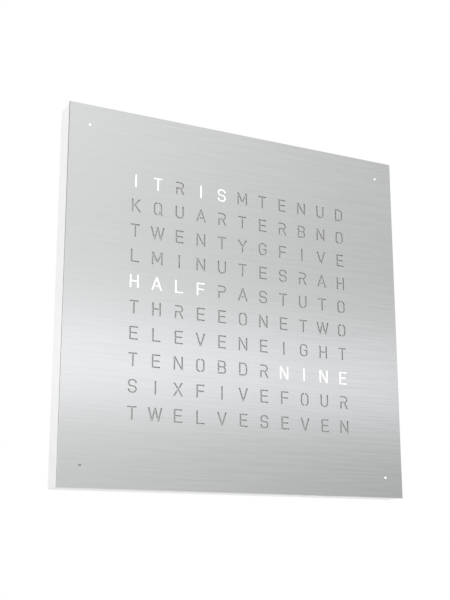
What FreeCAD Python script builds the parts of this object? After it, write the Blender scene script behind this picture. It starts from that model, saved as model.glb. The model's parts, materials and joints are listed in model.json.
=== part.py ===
"""Square word clock for a wall: a brushed steel cover held by magnets on a lacquered case,
with one drafted light well and one LED behind every letter, and a dot in each corner.

Frame, in millimetres: X to the right and Z up as the clock is read, Y towards the wall.
The origin is the middle of the case's flat back, which lies on the wall plane Y = 0.
"""
import FreeCAD
import Part

import os

V = FreeCAD.Vector

# ------------------------------------------------------------------ front cover
COVER_SIDE = 450.0
COVER_THICK = 2.0
COVER_EDGE = 0.3            # chamfer round the face
DOT_R = 1.5                 # minute dots, one in each corner
SHADOW_GAP = 1.0            # dark line between cover and case
DIFFUSER_THICK = 0.3
DIFFUSER_MARGIN = 2.0       # sheet's edge inside the light grid's edge

# ------------------------------------------------------------------ case
CASE_INSET = 0.5            # case edge inside the cover's edge
RIM_WIDTH = 12.0
LEDGE_WIDTH = 6.0           # carries the light grid in front and the back panel behind
CASE_EDGE = 0.6             # chamfer along the outer edges
SEAT_GAP = 0.3              # round the light grid and the back panel

MAGNET_LONG = 20.0
MAGNET_WIDE = 6.0
MAGNET_DEEP = 3.0
MAGNET_OFFSET = 110.0       # from the middle of each rail
MAGNET_FIT = 0.05
MAGNET_AIR = 0.1            # between magnet and strike plate
STRIKE_LAP = 2.0            # strike plate beyond the magnet, all round

PIN_R = 2.0
PIN_REACH = 6.0             # into the case
PIN_FIT = 0.05
BUSH_R = 3.5
BUSH_DEEP = 9.0
PIN_OFFSET = 160.0          # from the middle of the top rail

# ------------------------------------------------------------------ light grid
COLUMNS = 11
ROWS = 10
FACE_MARGIN_X = 70.1        # from the cover's edge to the block of letter cells
FACE_MARGIN_Z = 70.3
GRID_PLATE = 2.0
GRID_DEPTH = 15.5
GRID_DROP = 0.3             # plate below the case rim
WELL_WALL = 2.0             # between wells at the front
WELL_DRAFT = 0.75           # each well side leans in by this much at the back
TUBE_HALF = 5.6             # square tubes of the corner wells, outside
TUBE_WALL = 1.6
TUBE_DRAFT = 0.4
TUBE_AIR = 1.0              # between tube and case
TAPE_INSET = 1.0            # bonding tape inside the ledge's edges
TAPE_THICK = 0.3

# ------------------------------------------------------------------ boards and lights
BOARD_THICK = 1.6
BOARD_MARGIN = 3.0          # LED board beyond the wells
LED_SIDE = 5.0
LED_THICK = 1.5
CHIP_LONG = 10.0
CHIP_WIDE = 7.0
CHIP_THICK = 1.5
CHIP_COLUMNS = (-4, -1.5, 1.5, 4)
CHIP_ROWS = (1, 3)
SENSOR_SIDE = 2.0
SENSOR_THICK = 0.9
SENSOR_OFFSET = 7.0         # beside the LED in its well
MINUTE_LED_SIDE = 3.0
MINUTE_BOARD_LIP = 0.4      # board beyond the tube
MINUTE_BOARD_TAIL = 14.0    # towards the middle, where the lead is soldered
CLIP_STEPS = 3              # clips of the LED board, in pitches either side of the middle
LEAD_WIDE = 4.0
LEAD_THICK = 0.8
LEAD_LAP = 6.0              # length of lead that lies on each board

# ------------------------------------------------------------------ power socket
SOCKET_WIDE = 9.0
SOCKET_HIGH = 8.0
SOCKET_LONG = 12.0
SOCKET_BORE_R = 2.85
SOCKET_BORE_DEEP = 9.0
SOCKET_PIN_R = 1.05
SOCKET_PIN_SHY = 1.0        # pin's tip inside the mouth
SOCKET_AIR = 0.75           # above and below the socket
SOCKET_PROUD = 1.0          # into the plug pocket
SOCKET_FIT = 0.1

# ------------------------------------------------------------------ back panel
PANEL_THICK = 2.5
PANEL_RECESS = 1.5
POCKET_WIDE = 60.0
POCKET_TALL = 50.0
POCKET_TOP = -130.0         # height of the pocket's upper wall
POCKET_WALL = 1.8
POCKET_ROUND = 4.0
BOARD_AIR = 0.8             # behind the LED board

HANG_SPACING = 300.0
HANG_ENTRY_R = 5.0
HANG_SLOT_R = 2.5
HANG_SLOT_RISE = 12.0       # from the entry's centre to the slot's end
HANG_DROP = 32.5            # entry's centre below the case's inner top
HANGER_WIDE = 36.0
HANGER_MARGIN = 16.0        # plate above the slot's end and below the entry
HANGER_THICK = 1.5
WINDOW_LAP = 4.0            # panel's window beyond the keyhole
STOP_THICK = 2.0            # ribs above and below each hanger plate

# ------------------------------------------------------------------ control board
REST_HIGH = 3.0             # rests that carry the control board
CONTROL_WIDE = 110.0
CONTROL_TALL = 56.0
CONTROL_RISE = 5.0          # above the socket's end
CLIP_INSET = 10.0           # clips from the board's corners
MCU_OFFSET = -27.5          # places along the board, from its middle
CRYSTAL_OFFSET = -15.5
CELL_OFFSET = 27.5
MCU_SIDE = 12.0
MCU_THICK = 1.4
CRYSTAL_LONG = 11.0
CRYSTAL_WIDE = 4.6
CRYSTAL_THICK = 3.4
CELL_R = 10.0
CELL_THICK = 3.2
HOLDER_BASE = 0.8
HOLDER_WALL = 1.5
HOLDER_RISE = 2.6           # end walls beside the cell
HOLDER_TALL = 14.0
CELL_FIT = 0.1
HEADER_LONG = 40.0
HEADER_WIDE = 5.0
PLUG_BLOCK = (8.0, 3.0, 6.0)        # power connector: wide, thick, tall
LEAD_CORE_WIDE = 3.6        # flat two-core lead
LEAD_CORE_THICK = 1.4
LEAD_CORE_AIR = 0.1

# ------------------------------------------------------------------ set buttons
BUTTONS = ("hour", "minute", "mode", "brightness")
BUTTON_ROW_INSET = 86.5     # row's middle, from the inside of the right rail
BUTTON_PITCH = 16.0
BUTTON_R = 3.0
BUTTON_FIT = 0.15
BUTTON_PROUD = 0.3
BUTTON_TRAVEL = 0.8
FLANGE_HALF = 3.9           # square, so the button can't turn
FLANGE_THICK = 1.2
FLANGE_GAP = 0.1
PLUNGER_SIDE = 3.0
PLUNGER_FIT = 0.2
PLUNGER_SHOW = 1.0          # outside its switch
PLUNGER_HIDE = 1.0          # inside its switch
PLUNGER_STOP = 0.2          # left above it when pressed
SWITCH_SIDE = 6.0
SWITCH_ROOF = 1.5
BUTTON_BOARD_END = 11.0     # board beyond the outer buttons
BUTTON_BOARD_WIDE = 10.8
BUTTON_BOARD_GAP = 0.6      # from the back panel
BRACKET_GRIP = 3.0          # length of board held by each end bracket
BRACKET_WALL = 2.0
BRACKET_WIDE = 9.0
RIBBON_WIDE = 6.0
RIBBON_THICK = 0.8
RIBBON_GAP = 1.0            # from the back panel
RIBBON_LAP = 10.0           # under the control board
RIBBON_BLOCK = 8.0
RIBBON_BLOCK_INSET = 1.0    # from the control board's edge

# ------------------------------------------------------------------ moulded clips
CLIP_AIR = 0.1              # between a clip's arm and the edge it holds
CLIP_ARM = 2.0
CLIP_LAP = 1.2              # barb over the edge
CLIP_TIP = 1.5              # barb's height
CLIP_LONG = 8.0
CLIP_REST = 4.0             # rest under the edge

# ------------------------------------------------------------------ back panel screws
SCREW_R = 1.2
SCREW_HEAD_R = 2.6
SCREW_HEAD_HIGH = 1.2
SCREW_BITE = 9.0            # into the case
SCREW_FIT = 0.1             # shank in its hole

# ------------------------------------------------------------------ levels along Y, worked out from the back
POCKET_DEPTH = SOCKET_HIGH + 2 * SOCKET_AIR
BEHIND_POCKET = POCKET_DEPTH + POCKET_WALL - PANEL_THICK + BOARD_AIR
BEHIND_CONTROL = REST_HIGH + BOARD_THICK + HOLDER_BASE + CELL_THICK + BOARD_AIR
BACK_SPACE = max(BEHIND_POCKET, BEHIND_CONTROL)

Y_PANEL_OUT = -PANEL_RECESS
Y_PANEL_IN = Y_PANEL_OUT - PANEL_THICK
Y_BOARD_BACK = Y_PANEL_IN - BACK_SPACE
Y_GRID_BACK = Y_BOARD_BACK - BOARD_THICK
Y_GRID_FRONT = Y_GRID_BACK - GRID_DEPTH
Y_TAPE = Y_GRID_FRONT + GRID_PLATE
Y_LEDGE = Y_TAPE + TAPE_THICK
Y_CASE_FRONT = Y_GRID_FRONT - GRID_DROP
Y_COVER_BACK = Y_CASE_FRONT - SHADOW_GAP
Y_COVER_FRONT = Y_COVER_BACK - COVER_THICK
Y_POCKET_FLOOR = Y_PANEL_OUT - POCKET_DEPTH
Y_CONTROL_BACK = Y_PANEL_IN - REST_HIGH
Y_CONTROL_FRONT = Y_CONTROL_BACK - BOARD_THICK

# ------------------------------------------------------------------ half widths, worked out from the cover
PITCH_X = (COVER_SIDE - 2 * FACE_MARGIN_X) / COLUMNS
PITCH_Z = (COVER_SIDE - 2 * FACE_MARGIN_Z) / ROWS
CASE_HALF = COVER_SIDE / 2 - CASE_INSET
SEAT_HALF = CASE_HALF - RIM_WIDTH
LAND_HALF = SEAT_HALF - LEDGE_WIDTH
INSERT_HALF = SEAT_HALF - SEAT_GAP
SCREW_LINE = SEAT_HALF - LEDGE_WIDTH / 2
RIM_LINE = CASE_HALF - RIM_WIDTH / 2
DOT_PLACE = LAND_HALF - TUBE_AIR - TUBE_HALF
GRID_HALF_X = (COLUMNS * PITCH_X + WELL_WALL) / 2
GRID_HALF_Z = (ROWS * PITCH_Z + WELL_WALL) / 2
BOARD_HALF_X = GRID_HALF_X + BOARD_MARGIN
BOARD_HALF_Z = GRID_HALF_Z + BOARD_MARGIN

HANG_Z = LAND_HALF - HANG_DROP
SOCKET_END = POCKET_TOP - SOCKET_PROUD + SOCKET_LONG
CONTROL_BOTTOM = SOCKET_END + CONTROL_RISE
CONTROL_TOP = CONTROL_BOTTOM + CONTROL_TALL
CONTROL_MIDDLE = (CONTROL_BOTTOM + CONTROL_TOP) / 2

BUTTON_ROW_X = LAND_HALF - BUTTON_ROW_INSET
BUTTON_Y = Y_PANEL_IN - BUTTON_BOARD_GAP - BUTTON_BOARD_WIDE / 2
FLANGE_Z = -LAND_HALF + FLANGE_GAP
PLUNGER_Z = FLANGE_Z + FLANGE_THICK
SWITCH_Z = PLUNGER_Z + PLUNGER_SHOW
SWITCH_BORE = PLUNGER_HIDE + BUTTON_TRAVEL + PLUNGER_STOP
BUTTON_BOARD_Z = SWITCH_Z + SWITCH_BORE + SWITCH_ROOF
BUTTON_BOARD_TOP = BUTTON_BOARD_Z + BOARD_THICK
BUTTON_BOARD_HALF = (len(BUTTONS) - 1) * BUTTON_PITCH / 2 + BUTTON_BOARD_END


# ------------------------------------------------------------------ building blocks
def block(x, y, z):
    """Box between two limits along each axis."""
    size = [high - low for low, high in (x, y, z)]
    return Part.makeBox(*size, V(x[0], y[0], z[0]))


def slab(half_x, half_z, y, centre=(0, 0)):
    """Rectangular plate across Y, about a centre in X and Z."""
    cx, cz = centre
    return block((cx - half_x, cx + half_x), y, (cz - half_z, cz + half_z))


def rod_y(centre, radius, y):
    """Round bar along Y between two levels."""
    return Part.makeCylinder(radius, y[1] - y[0], V(centre[0], y[0], centre[1]), V(0, 1, 0))


def rod_z(x, y, radius, z):
    """Round bar along Z between two heights."""
    return Part.makeCylinder(radius, z[1] - z[0], V(x, y, z[0]), V(0, 0, 1))


def rectangle(centre, half, y):
    """Corner points of a rectangle at one level."""
    turns = ((-1, -1), (1, -1), (1, 1), (-1, 1))
    return [V(centre[0] + sx * half[0], y, centre[1] + sz * half[1]) for sx, sz in turns]


def frustum(centre, front, back, y):
    """Drafted solid: half sizes of its front and back rectangles, and their two levels."""
    near = rectangle(centre, front, y[0])
    far = rectangle(centre, back, y[1])
    outlines = [near, far]
    for i in range(4):
        j = (i + 1) % 4
        outlines.append([near[i], near[j], far[j], far[i]])
    faces = [Part.Face(Part.makePolygon(points + points[:1])) for points in outlines]
    solid = Part.Solid(Part.Shell(faces))
    if solid.Volume < 0:
        solid.reverse()
    return solid


def joined(first, others):
    """One solid from pieces that touch or overlap."""
    return first.fuse(others).removeSplitter()


def save(node, solids):
    """Write one node; a list becomes a group of separate solids."""
    shape = Part.makeCompound(solids) if isinstance(solids, list) else solids
    shape.exportStep("parts/" + node + ".step")


def corners(half_x, half_z):
    """The four points (+-half_x, +-half_z)."""
    return [(sx * half_x, sz * half_z) for sx in (-1, 1) for sz in (-1, 1)]


def well_centres():
    """Centres of the letters, row by row from the top left."""
    for row in range(ROWS):
        for column in range(COLUMNS):
            x = (column - (COLUMNS - 1) / 2) * PITCH_X
            z = ((ROWS - 1) / 2 - row) * PITCH_Z
            yield x, z


def clip(centre, edge, levels, rest=0.0, long=CLIP_LONG, turn=0, along=0.0):
    """Moulded arm with a barb, outside the edge of a flat piece.

    levels: where the arm is rooted, the face the piece rests on, and the face the barb holds.
    edge is the edge's distance from the centre, turn the side (degrees about Y), and along
    the arm's place on that side.
    """
    root, seat, top = levels
    tip = top + (CLIP_TIP if top > root else -CLIP_TIP)
    inner = edge + CLIP_AIR
    outer = inner + CLIP_ARM
    outline = [(outer, root), (outer, tip), (inner + CLIP_ARM / 2, tip), (edge - CLIP_LAP, top)]
    outline += [(inner, top), (inner, seat), (edge - rest, seat), (edge - rest, root)]
    if not rest:
        outline[5:] = [(inner, root)]
    points = [V(x, y, along - long / 2) for x, y in outline]
    arm = Part.Face(Part.makePolygon(points + points[:1])).extrude(V(0, 0, long))
    arm.rotate(V(0, 0, 0), V(0, 1, 0), turn)
    arm.translate(V(centre[0], 0, centre[1]))
    return arm


# ------------------------------------------------------------------ front cover and what it carries
def front_cover():
    plate = slab(COVER_SIDE / 2, COVER_SIDE / 2, (Y_COVER_FRONT, Y_COVER_BACK))
    face = [e for e in plate.Edges if all(abs(v.Y - Y_COVER_FRONT) < 1e-6 for v in e.Vertexes)]
    plate = plate.makeChamfer(COVER_EDGE, face)
    dots = [rod_y(at, DOT_R, (Y_COVER_FRONT, Y_COVER_BACK)) for at in corners(DOT_PLACE, DOT_PLACE)]
    return plate.cut(dots)


def diffuser_sheet():
    half = INSERT_HALF - DIFFUSER_MARGIN
    return slab(half, half, (Y_COVER_BACK, Y_COVER_BACK + DIFFUSER_THICK))


def rail_magnets(y, lap):
    """Bars along the four rails of the case; lap widens them all round."""
    long = MAGNET_LONG / 2 + lap
    wide = MAGNET_WIDE / 2 + lap
    bars = []
    for side in (-1, 1):
        for offset in (-MAGNET_OFFSET, MAGNET_OFFSET):
            bars.append(slab(long, wide, y, (offset, side * RIM_LINE)))
            bars.append(slab(wide, long, y, (side * RIM_LINE, offset)))
    return bars


def pin_places():
    return [(-PIN_OFFSET, RIM_LINE), (PIN_OFFSET, RIM_LINE)]


def cover_pins():
    return [rod_y(at, PIN_R, (Y_COVER_BACK, Y_CASE_FRONT + PIN_REACH)) for at in pin_places()]


def pin_bushes():
    bushes = []
    for at in pin_places():
        tube = rod_y(at, BUSH_R, (Y_CASE_FRONT, Y_CASE_FRONT + BUSH_DEEP))
        bore = rod_y(at, PIN_R + PIN_FIT, (Y_CASE_FRONT, Y_CASE_FRONT + BUSH_DEEP))
        bushes.append(tube.cut(bore))
    return bushes


# ------------------------------------------------------------------ case
def button_places():
    middle = (len(BUTTONS) - 1) / 2
    return [BUTTON_ROW_X + (i - middle) * BUTTON_PITCH for i in range(len(BUTTONS))]


def case_frame():
    body = slab(CASE_HALF, CASE_HALF, (Y_CASE_FRONT, 0))
    body = body.makeChamfer(CASE_EDGE, body.Edges)
    cuts = [
        slab(SEAT_HALF, SEAT_HALF, (Y_CASE_FRONT, Y_LEDGE)),
        slab(LAND_HALF, LAND_HALF, (Y_LEDGE, Y_PANEL_IN)),
        slab(SEAT_HALF, SEAT_HALF, (Y_PANEL_IN, 0)),
    ]
    cuts += rail_magnets((Y_CASE_FRONT, Y_CASE_FRONT + MAGNET_DEEP), MAGNET_FIT)
    cuts += [rod_y(at, BUSH_R, (Y_CASE_FRONT, Y_CASE_FRONT + BUSH_DEEP)) for at in pin_places()]
    cuts += [rod_y(at, SCREW_R + SCREW_FIT, (Y_PANEL_IN - SCREW_BITE, Y_PANEL_IN))
             for at in corners(SCREW_LINE, SCREW_LINE)]
    for x in button_places():
        cuts.append(rod_z(x, BUTTON_Y, BUTTON_R + BUTTON_FIT, (-CASE_HALF, -LAND_HALF)))
    return body.cut(cuts)


# ------------------------------------------------------------------ light grid
def led_board_clips():
    levels = (Y_TAPE, Y_GRID_BACK, Y_BOARD_BACK)
    clips = []
    for turn, edge, pitch in ((0, BOARD_HALF_X, PITCH_Z), (90, BOARD_HALF_Z, PITCH_X)):
        for side in (0, 180):
            clips += [clip((0, 0), edge, levels, turn=turn + side, along=place * pitch)
                      for place in (-CLIP_STEPS, CLIP_STEPS)]
    return clips


def light_grid():
    """Moulded tray: a plate with a crate of drafted wells, four corner tubes and clips behind it."""
    plate = slab(INSERT_HALF, INSERT_HALF, (Y_GRID_FRONT, Y_TAPE))
    crate = slab(GRID_HALF_X, GRID_HALF_Z, (Y_TAPE, Y_GRID_BACK))
    tubes = [slab(TUBE_HALF, TUBE_HALF, (Y_TAPE, Y_GRID_BACK), at)
             for at in corners(DOT_PLACE, DOT_PLACE)]
    tray = joined(plate, [crate] + tubes + led_board_clips())

    through = (Y_GRID_FRONT, Y_GRID_BACK)
    front = ((PITCH_X - WELL_WALL) / 2, (PITCH_Z - WELL_WALL) / 2)
    back = (front[0] - WELL_DRAFT, front[1] - WELL_DRAFT)
    wells = [frustum(at, front, back, through) for at in well_centres()]
    wide = TUBE_HALF - TUBE_WALL
    narrow = wide - TUBE_DRAFT
    wells += [frustum(at, (wide, wide), (narrow, narrow), through)
              for at in corners(DOT_PLACE, DOT_PLACE)]
    return tray.cut(wells)


def grid_tape():
    """Frame of bonding tape between the tray and the case's ledge."""
    level = (Y_TAPE, Y_LEDGE)
    outer = INSERT_HALF - TAPE_INSET
    inner = LAND_HALF + TAPE_INSET
    return slab(outer, outer, level).cut(slab(inner, inner, level))


# ------------------------------------------------------------------ LED board and corner boards
def led_board():
    return slab(BOARD_HALF_X, BOARD_HALF_Z, (Y_GRID_BACK, Y_BOARD_BACK))


def letter_leds():
    half = LED_SIDE / 2
    return [slab(half, half, (Y_GRID_BACK - LED_THICK, Y_GRID_BACK), at) for at in well_centres()]


def led_driver_chips():
    chips = []
    for row in CHIP_ROWS:
        for column in CHIP_COLUMNS:
            at = (column * PITCH_X, row * PITCH_Z)
            level = (Y_BOARD_BACK, Y_BOARD_BACK + CHIP_THICK)
            chips.append(slab(CHIP_LONG / 2, CHIP_WIDE / 2, level, at))
    return chips


def light_sensor():
    """In the well of the bottom row's middle column, beside the LED."""
    at = (SENSOR_OFFSET, (1 - ROWS) / 2 * PITCH_Z)
    half = SENSOR_SIDE / 2
    return slab(half, half, (Y_GRID_BACK - SENSOR_THICK, Y_GRID_BACK), at)


def minute_boards():
    """Small boards on the corner tubes, each with a tail towards the middle."""
    half = TUBE_HALF + MINUTE_BOARD_LIP
    boards = []
    for x, z in corners(DOT_PLACE, DOT_PLACE):
        side = 1 if x > 0 else -1
        ends = sorted((x + side * half, x - side * MINUTE_BOARD_TAIL))
        boards.append(block(ends, (Y_GRID_BACK, Y_BOARD_BACK), (z - half, z + half)))
    return boards


def minute_leds():
    half = MINUTE_LED_SIDE / 2
    level = (Y_GRID_BACK - LED_THICK, Y_GRID_BACK)
    return [slab(half, half, level, at) for at in corners(DOT_PLACE, DOT_PLACE)]


def minute_leads():
    """Flat leads that lie on the backs of the LED board and the corner boards."""
    leads = []
    for x, z in corners(1, 1):
        start = V(x * (BOARD_HALF_X - LEAD_LAP), 0, z * (BOARD_HALF_Z - LEAD_LAP))
        tail = DOT_PLACE - MINUTE_BOARD_TAIL + LEAD_LAP / 2
        end = V(x * tail, 0, z * DOT_PLACE)
        along = end.sub(start)
        lead = Part.makeBox(along.Length, LEAD_THICK, LEAD_WIDE, V(0, 0, -LEAD_WIDE / 2))
        lead.Placement = FreeCAD.Placement(start.add(V(0, Y_BOARD_BACK, 0)),
                                           FreeCAD.Rotation(V(1, 0, 0), along))
        leads.append(lead)
    return leads


# ------------------------------------------------------------------ back panel and hangers
def keyholes():
    return [(-HANG_SPACING / 2, HANG_Z), (HANG_SPACING / 2, HANG_Z)]


def rounded_slab(x, y, z, radius):
    """Plate across Y with its four corners rounded."""
    plate = block(x, y, z)
    edges = [e for e in plate.Edges if abs(e.tangentAt(e.FirstParameter).y) > 0.9]
    return plate.makeFillet(radius, edges)


def hanger_plates():
    level = (Y_PANEL_IN - HANGER_THICK, Y_PANEL_IN)
    plates = []
    for x, z in keyholes():
        top = z + HANG_SLOT_RISE
        plate = block((x - HANGER_WIDE / 2, x + HANGER_WIDE / 2), level,
                      (z - HANGER_MARGIN, top + HANGER_MARGIN))
        cuts = [rod_y((x, z), HANG_ENTRY_R, level)]
        cuts.append(rod_y((x, top), HANG_SLOT_R, level))
        cuts.append(block((x - HANG_SLOT_R, x + HANG_SLOT_R), level, (z, top)))
        plates.append(plate.cut(cuts))
    return plates


def hanger_rails():
    """Rails beside each hanger plate, and ribs above and below it."""
    levels = (Y_PANEL_IN, Y_PANEL_IN, Y_PANEL_IN - HANGER_THICK)
    tall = HANG_SLOT_RISE + 2 * HANGER_MARGIN
    pieces = []
    for x, z in keyholes():
        middle = z + HANG_SLOT_RISE / 2
        pieces += [clip((x, middle), HANGER_WIDE / 2, levels, long=tall, turn=turn)
                   for turn in (0, 180)]
        for side in (-1, 1):
            at = (x, middle + side * (tall / 2 + CLIP_AIR + STOP_THICK / 2))
            pieces.append(slab(HANGER_WIDE / 2, STOP_THICK / 2, (levels[2], levels[0]), at))
    return pieces


def control_board_clips():
    levels = (Y_PANEL_IN, Y_CONTROL_BACK, Y_CONTROL_FRONT)
    reach = CONTROL_TALL / 2 - CLIP_INSET
    return [clip((0, CONTROL_MIDDLE), CONTROL_WIDE / 2, levels, CLIP_REST, turn=turn, along=side * reach)
            for turn in (0, 180) for side in (-1, 1)]


def pocket_x(grow=0.0):
    return (-POCKET_WIDE / 2 - grow, POCKET_WIDE / 2 + grow)


def pocket_z(grow=0.0):
    return (POCKET_TOP - POCKET_TALL - grow, POCKET_TOP + grow)


def socket_block(grow=0.0):
    """Outer shape of the power socket; its mouth looks down into the pocket."""
    half = SOCKET_WIDE / 2 + grow
    low = Y_POCKET_FLOOR + SOCKET_AIR
    return block((-half, half), (low - grow, low + SOCKET_HIGH + grow),
                 (POCKET_TOP - SOCKET_PROUD - grow, SOCKET_END + grow))


def back_panel():
    panel = slab(INSERT_HALF, INSERT_HALF, (Y_PANEL_IN, Y_PANEL_OUT))
    box = rounded_slab(pocket_x(POCKET_WALL), (Y_POCKET_FLOOR - POCKET_WALL, Y_PANEL_IN),
                       pocket_z(POCKET_WALL), POCKET_ROUND + POCKET_WALL)
    panel = joined(panel, [box] + hanger_rails() + control_board_clips())

    cuts = [rounded_slab(pocket_x(), (Y_POCKET_FLOOR, Y_PANEL_OUT), pocket_z(), POCKET_ROUND)]
    cuts.append(socket_block(SOCKET_FIT))
    lap = HANG_ENTRY_R + WINDOW_LAP
    for x, z in keyholes():
        cuts.append(block((x - lap, x + lap), (Y_PANEL_IN, Y_PANEL_OUT),
                          (z - lap, z + HANG_SLOT_RISE + lap)))
    cuts += [rod_y(at, SCREW_R + SCREW_FIT, (Y_PANEL_IN, Y_PANEL_OUT))
             for at in corners(SCREW_LINE, SCREW_LINE)]
    return panel.cut(cuts)


def back_panel_screws():
    screws = []
    for at in corners(SCREW_LINE, SCREW_LINE):
        head = rod_y(at, SCREW_HEAD_R, (Y_PANEL_OUT, Y_PANEL_OUT + SCREW_HEAD_HIGH))
        shank = rod_y(at, SCREW_R, (Y_PANEL_IN - SCREW_BITE, Y_PANEL_OUT))
        screws.append(joined(head, [shank]))
    return screws


# ------------------------------------------------------------------ power socket and control board
def socket_axis_y():
    return Y_POCKET_FLOOR + SOCKET_AIR + SOCKET_HIGH / 2


def power_socket():
    mouth = POCKET_TOP - SOCKET_PROUD
    bore = rod_z(0, socket_axis_y(), SOCKET_BORE_R, (mouth, mouth + SOCKET_BORE_DEEP))
    return socket_block().cut(bore)


def socket_pin():
    mouth = POCKET_TOP - SOCKET_PROUD
    return rod_z(0, socket_axis_y(), SOCKET_PIN_R,
                 (mouth + SOCKET_PIN_SHY, mouth + SOCKET_BORE_DEEP))


def control_board():
    return block((-CONTROL_WIDE / 2, CONTROL_WIDE / 2), (Y_CONTROL_FRONT, Y_CONTROL_BACK),
                 (CONTROL_BOTTOM, CONTROL_TOP))


def on_control_board(wide, thick, tall, at):
    """Box that stands on the control board's front."""
    x = (at[0] - wide / 2, at[0] + wide / 2)
    z = (at[1] - tall / 2, at[1] + tall / 2)
    return block(x, (Y_CONTROL_FRONT - thick, Y_CONTROL_FRONT), z)


def microcontroller():
    return on_control_board(MCU_SIDE, MCU_THICK, MCU_SIDE, (MCU_OFFSET, CONTROL_MIDDLE))


def quartz_crystal():
    """Flat can with round ends."""
    straight = CRYSTAL_LONG - CRYSTAL_WIDE
    at = (CRYSTAL_OFFSET, CONTROL_MIDDLE)
    body = on_control_board(CRYSTAL_WIDE, CRYSTAL_THICK, straight, at)
    level = (Y_CONTROL_FRONT - CRYSTAL_THICK, Y_CONTROL_FRONT)
    ends = [rod_y((at[0], at[1] + side * straight / 2), CRYSTAL_WIDE / 2, level)
            for side in (-1, 1)]
    return joined(body, ends)


def cell_place():
    return (CELL_OFFSET, CONTROL_MIDDLE)


def coin_cell():
    low = Y_CONTROL_FRONT - HOLDER_BASE
    return rod_y(cell_place(), CELL_R, (low - CELL_THICK, low))


def cell_holder():
    """Tray with two end walls that follow the cell's rim."""
    wide = 2 * (CELL_R + HOLDER_WALL)
    holder = on_control_board(wide, HOLDER_BASE + HOLDER_RISE, HOLDER_TALL, cell_place())
    low = Y_CONTROL_FRONT - HOLDER_BASE
    return holder.cut(rod_y(cell_place(), CELL_R + CELL_FIT, (low - CELL_THICK, low)))


def link_header():
    """Joins the control board to the LED board across the space between them."""
    z = CONTROL_TOP - HEADER_WIDE
    gap = Y_CONTROL_FRONT - Y_BOARD_BACK
    return on_control_board(HEADER_LONG, gap, HEADER_WIDE, (0, z))


def power_connector():
    wide, thick, tall = PLUG_BLOCK
    return on_control_board(wide, thick, tall, (0, CONTROL_BOTTOM + tall / 2))


def power_lead():
    """Flat two-core lead from the socket's end to the connector."""
    half = LEAD_CORE_WIDE / 2
    high = Y_CONTROL_FRONT - LEAD_CORE_AIR
    return block((-half, half), (high - LEAD_CORE_THICK, high), (SOCKET_END, CONTROL_BOTTOM))


# ------------------------------------------------------------------ set buttons
def set_button(x):
    cap = rod_z(x, BUTTON_Y, BUTTON_R, (-CASE_HALF - BUTTON_PROUD, FLANGE_Z))
    flange = block((x - FLANGE_HALF, x + FLANGE_HALF),
                   (BUTTON_Y - FLANGE_HALF, BUTTON_Y + FLANGE_HALF), (FLANGE_Z, PLUNGER_Z))
    return joined(cap, [flange])


def plunger(x):
    half = PLUNGER_SIDE / 2
    return block((x - half, x + half), (BUTTON_Y - half, BUTTON_Y + half),
                 (PLUNGER_Z, SWITCH_Z + PLUNGER_HIDE))


def tact_switches():
    housings = []
    half = SWITCH_SIDE / 2
    bore = PLUNGER_SIDE / 2 + PLUNGER_FIT
    for x in button_places():
        housing = block((x - half, x + half), (BUTTON_Y - half, BUTTON_Y + half),
                        (SWITCH_Z, BUTTON_BOARD_Z))
        housings.append(housing.cut(block((x - bore, x + bore), (BUTTON_Y - bore, BUTTON_Y + bore),
                                          (SWITCH_Z, SWITCH_Z + SWITCH_BORE))))
    return housings


def button_board():
    half_y = BUTTON_BOARD_WIDE / 2
    return block((BUTTON_ROW_X - BUTTON_BOARD_HALF, BUTTON_ROW_X + BUTTON_BOARD_HALF),
                 (BUTTON_Y - half_y, BUTTON_Y + half_y), (BUTTON_BOARD_Z, BUTTON_BOARD_TOP))


def board_brackets():
    """Two brackets that stand on the bottom rail, each with a slot for one end of the board."""
    brackets = []
    y = (BUTTON_Y - BRACKET_WIDE / 2, BUTTON_Y + BRACKET_WIDE / 2)
    for side in (-1, 1):
        end = BUTTON_ROW_X + side * BUTTON_BOARD_HALF
        span = sorted((end - side * BRACKET_GRIP, end + side * BRACKET_WALL))
        post = block(span, y, (-LAND_HALF, BUTTON_BOARD_TOP + BRACKET_WALL))
        brackets.append(post.cut(button_board()))
    return brackets


def ribbon_level():
    high = Y_PANEL_IN - RIBBON_GAP
    return (high - RIBBON_THICK, high)


def button_ribbon():
    """Up from the button board, then across to the control board."""
    half = RIBBON_WIDE / 2
    level = ribbon_level()
    rise = block((BUTTON_ROW_X - half, BUTTON_ROW_X + half), level,
                 (BUTTON_BOARD_TOP, CONTROL_MIDDLE + half))
    across = block((CONTROL_WIDE / 2 - RIBBON_LAP, BUTTON_ROW_X), level,
                   (CONTROL_MIDDLE - half, CONTROL_MIDDLE + half))
    return joined(rise, [across])


def button_connector():
    right = CONTROL_WIDE / 2 - RIBBON_BLOCK_INSET
    return block((right - RIBBON_BLOCK, right), (Y_CONTROL_BACK, ribbon_level()[0]),
                 (CONTROL_MIDDLE - RIBBON_WIDE / 2, CONTROL_MIDDLE + RIBBON_WIDE / 2))


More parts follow.
